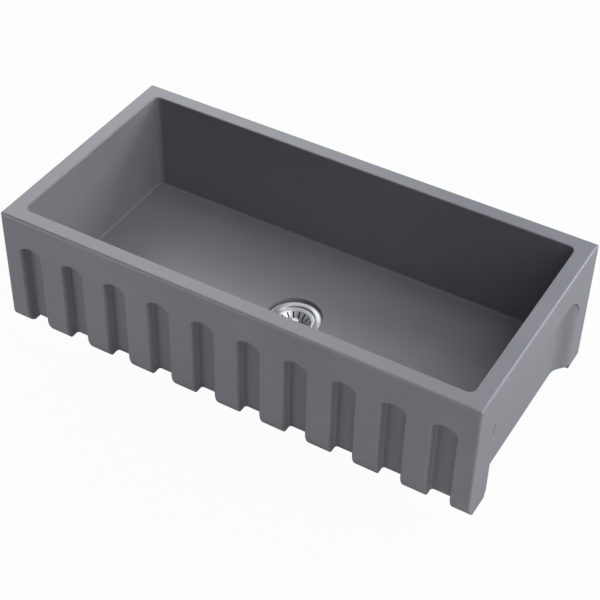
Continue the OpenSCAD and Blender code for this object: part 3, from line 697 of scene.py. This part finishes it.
# %% [markdown]
# ### Cutting out what the new faces replace
# Each new stretch has straight borders, so the copied skin is split along them with
# bisect_plane, and the faces inside are taken away. The lip's border is a ring of the casting's
# own corners, so nothing is split there.

# %% Split the skin and take faces away
SPLIT_REACH = 0.0001 * MM
HAIR = 0.001 * MM
LIP_MARGIN = 0.2 * MM
UNDER_MARGIN = 0.01 * MM


def split_skin(work, place, normal):
    bmesh.ops.bisect_plane(work, geom=work.verts[:] + work.edges[:] + work.faces[:],
        dist=SPLIT_REACH, plane_co=place, plane_no=normal)


def take_away(work, is_gone):
    """Takes away each face whose middle passes a test."""
    gone = [face for face in work.faces if is_gone(face.calc_center_median())]
    bmesh.ops.delete(work, geom=gone, context="FACES")


def in_mouth(middle):
    inside = abs(middle.x) < BORDER_X and abs(middle.y) < BORDER_Y
    return inside and middle.z > MOUTH_FOOT_Z


def in_front(middle):
    inside = abs(middle.x) < SHEET_HALF and middle.z < SHEET_TOP
    under = middle.z < UNDER_Z + UNDER_MARGIN and middle.y < SHEET_BACK
    return inside and (middle.y < BEHIND_FLUTES or under)


def in_lip(middle):
    ring = math.hypot(middle.x, middle.y)
    across = SEAT_RADIUS - LIP_MARGIN < ring < SEAT_RADIUS + OLD_LIP
    return across and LIP_FOOT_Z < middle.z < BOWL_FLOOR_Z - HAIR


def cut_out_mouth(work):
    for side in (-1, 1):
        split_skin(work, (side * BORDER_X, 0, 0), (1, 0, 0))
    for side in (-1, 1):
        split_skin(work, (0, side * BORDER_Y, 0), (0, 1, 0))
    split_skin(work, (0, 0, MOUTH_FOOT_Z), (0, 0, 1))
    take_away(work, in_mouth)


def cut_out_front(work):
    for side in (1, -1):
        split_skin(work, (side * SHEET_HALF, 0, 0), (1, 0, 0))
    split_skin(work, (0, 0, SHEET_TOP), (0, 0, 1))
    split_skin(work, (0, SHEET_BACK, 0), (0, 1, 0))
    take_away(work, in_front)


print("the rim is cut at", round(BORDER_X, 4), "and", round(BORDER_Y, 4))

# %% [markdown]
# ### Putting the casting together
# The copied triangles come loose, so they are merged first, and flat neighbours are joined.
# Where a corner of a new stretch meets one of the skin's own, the two are welded. Along the
# rest of a border the two sides only lie together, to a tenth of a millimetre, which is far
# less than a pixel here. A weighted normal lets each corner follow the largest faces that meet
# there, so the light flows round the edges, and creases sharper than the limit stay crisp.

# %% Copy the casting, set in the new stretches and smooth its skin
CREASE = math.radians(38)
FLAT = math.radians(0.05)
MERGE_REACH = 0.0001 * MM
WELD_REACH = 0.001 * MM
LARGE_FACE_WEIGHT = 90


def smooth_skin(work):
    """Smooths every face, and keeps an edge crisp where its faces meet at a crease."""
    for face in work.faces:
        face.smooth = True
    for edge in work.edges:
        edge.smooth = len(edge.link_faces) == 2 and edge.calc_face_angle(0) < CREASE


def build_casting(name, source):
    """The frame's casting with its front, mouth and seat rebuilt from even faces."""
    work = bmesh.new()
    work.from_mesh(source)
    bmesh.ops.remove_doubles(work, verts=work.verts, dist=MERGE_REACH)
    bmesh.ops.dissolve_limit(work, angle_limit=FLAT, verts=work.verts, edges=work.edges)
    cut_out_mouth(work)
    add_mouth(work)
    cut_out_front(work)
    add_front(work)
    take_away(work, in_lip)
    add_seat_lip(work)
    bmesh.ops.remove_doubles(work, verts=work.verts, dist=WELD_REACH)
    smooth_skin(work)
    data = bpy.data.meshes.new(name)
    work.to_mesh(data)
    work.free()
    piece = bpy.data.objects.new(name, data)
    bpy.context.scene.collection.objects.link(piece)
    weighting = piece.modifiers.new("weighted", "WEIGHTED_NORMAL")
    weighting.mode = "FACE_AREA"
    weighting.weight = LARGE_FACE_WEIGHT
    weighting.keep_sharp = True
    return piece


casting = build_casting("fireclay_casting", NODES["sink_body"].data)
casting.data.materials.clear()
casting.data.materials.append(GLAZE)
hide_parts("sink_body")
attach(casting, "sink")
print("casting with", len(casting.data.polygons), "faces")

# %% [markdown]
# ## Floor and light
# A cabinet carries the sink by its feet, with the tail of the waste outlet below them, so the
# floor lies just under that tail. The floor shows white to the camera and keeps a trace of the
# soft shadow, but it throws little light back up, so the ribs darken where they curve under.
# Wide soft boxes stand above, behind and to the right, and two low strips light the front from
# both corners. The world is white to the camera, dim in a reflection and nearly dark for all
# else, so that the light and shade on the sink come from the soft boxes.

# %% Floor
WHITE = (1.0, 1.0, 1.0, 1.0)
FLOOR_GAP = 0.6 * MM
FLOOR_SIZE = 30.0
FLOOR_GREY = (0.30, 0.30, 0.30)
FLOOR_ROUGHNESS = 0.9
FLOOR_GLOW = 0.97


def make_floor_finish():
    """A grey floor that a camera ray sees as white, but for a share left to the shadow."""
    material, tree, shader = new_finish("studio_floor")
    shader.inputs["Base Color"].default_value = (*FLOOR_GREY, 1.0)
    shader.inputs["Roughness"].default_value = FLOOR_ROUGHNESS
    glow = add_node(tree, "ShaderNodeEmission", [("Color", WHITE), ("Strength", 1.0)])
    path = add_node(tree, "ShaderNodeLightPath")
    share = add_node(tree, "ShaderNodeMath", [(1, FLOOR_GLOW)], operation="MULTIPLY")
    join(tree, path, "Is Camera Ray", share, 0)
    mix = add_node(tree, "ShaderNodeMixShader")
    join(tree, share, "Value", mix, "Fac")
    join(tree, shader, "BSDF", mix, 1)
    join(tree, glow, "Emission", mix, 2)
    join(tree, mix, "Shader", tree.nodes["Material Output"], "Surface")
    return material


floor_mesh = bmesh.new()
bmesh.ops.create_grid(floor_mesh, x_segments=1, y_segments=1, size=FLOOR_SIZE / 2)
bmesh.ops.translate(floor_mesh, verts=floor_mesh.verts, vec=(0, 0, CAD_LOW.z - FLOOR_GAP))
floor_data = bpy.data.meshes.new("studio_floor")
floor_mesh.to_mesh(floor_data)
floor_mesh.free()
floor = bpy.data.objects.new("studio_floor", floor_data)
bpy.context.scene.collection.objects.link(floor)
floor_data.materials.append(make_floor_finish())
print("floor at", round(CAD_LOW.z - FLOOR_GAP, 4))

# %% Light
LAMPS = {
    "high_back_left": ((-1, 0.85, 1), 41.9, 3.0, (2.2, 2.2)),
    "high_right": ((1, 0, 1), 39.1, 3.0, (2.2, 2.2)),
    "window_back_right": ((0.56, 0.70, 0.44), 39.2, 3.0, (1.2, 1.2)),
    "right": ((1, 0, 0.25), 21.0, 3.0, (2.2, 2.2)),
    "low_right_front": ((1, -1, 0), 13.5, 2.5, (2.4, 0.34)),
    "low_left_front": ((-1, -1, 0), 23.7, 2.5, (2.4, 0.34)),
    "top": ((0, 0, 1), 12.5, 3.0, (2.2, 2.2)),
}
AIM = Vector((0, 0, 0.09))
COOL_WHITE = (0.98, 1.0, 1.03)


def add_lamp(name, direction, watts, distance, size):
    """A soft box that faces the sink from a direction; the size is its width and height."""
    data = bpy.data.lights.new(name, "AREA")
    data.shape = "RECTANGLE"
    data.size, data.size_y = size
    data.energy = watts
    data.color = COOL_WHITE
    lamp = bpy.data.objects.new(name, data)
    bpy.context.scene.collection.objects.link(lamp)
    away = Vector(direction).normalized()
    lamp.location = AIM + distance * away
    lamp.rotation_mode = "QUATERNION"
    lamp.rotation_quaternion = away.to_track_quat("Z", "Y")


for name, plan in LAMPS.items():
    add_lamp("lamp_" + name, *plan)
print("lamps", sorted(LAMPS))

# %% World
AMBIENT = 0.004
MIRRORED = 0.14


def make_world():
    """White to the camera, MIRRORED and AMBIENT in a reflection, and AMBIENT for all else."""
    world = bpy.data.worlds.new("studio")
    world.use_nodes = True
    tree = world.node_tree
    background = tree.nodes["Background"]
    background.inputs["Color"].default_value = WHITE
    path = add_node(tree, "ShaderNodeLightPath")
    level = add_node(tree, "ShaderNodeMath", [(1, MIRRORED), (2, AMBIENT)],
        operation="MULTIPLY_ADD")
    total = add_node(tree, "ShaderNodeMath", operation="ADD")
    join(tree, path, "Is Glossy Ray", level, 0)
    join(tree, level, "Value", total, 0)
    join(tree, path, "Is Camera Ray", total, 1)
    join(tree, total, "Value", background, "Strength")
    return world


bpy.context.scene.world = make_world()
bpy.context.scene.view_settings.view_transform = "Standard"
print("world", bpy.context.scene.world.name)
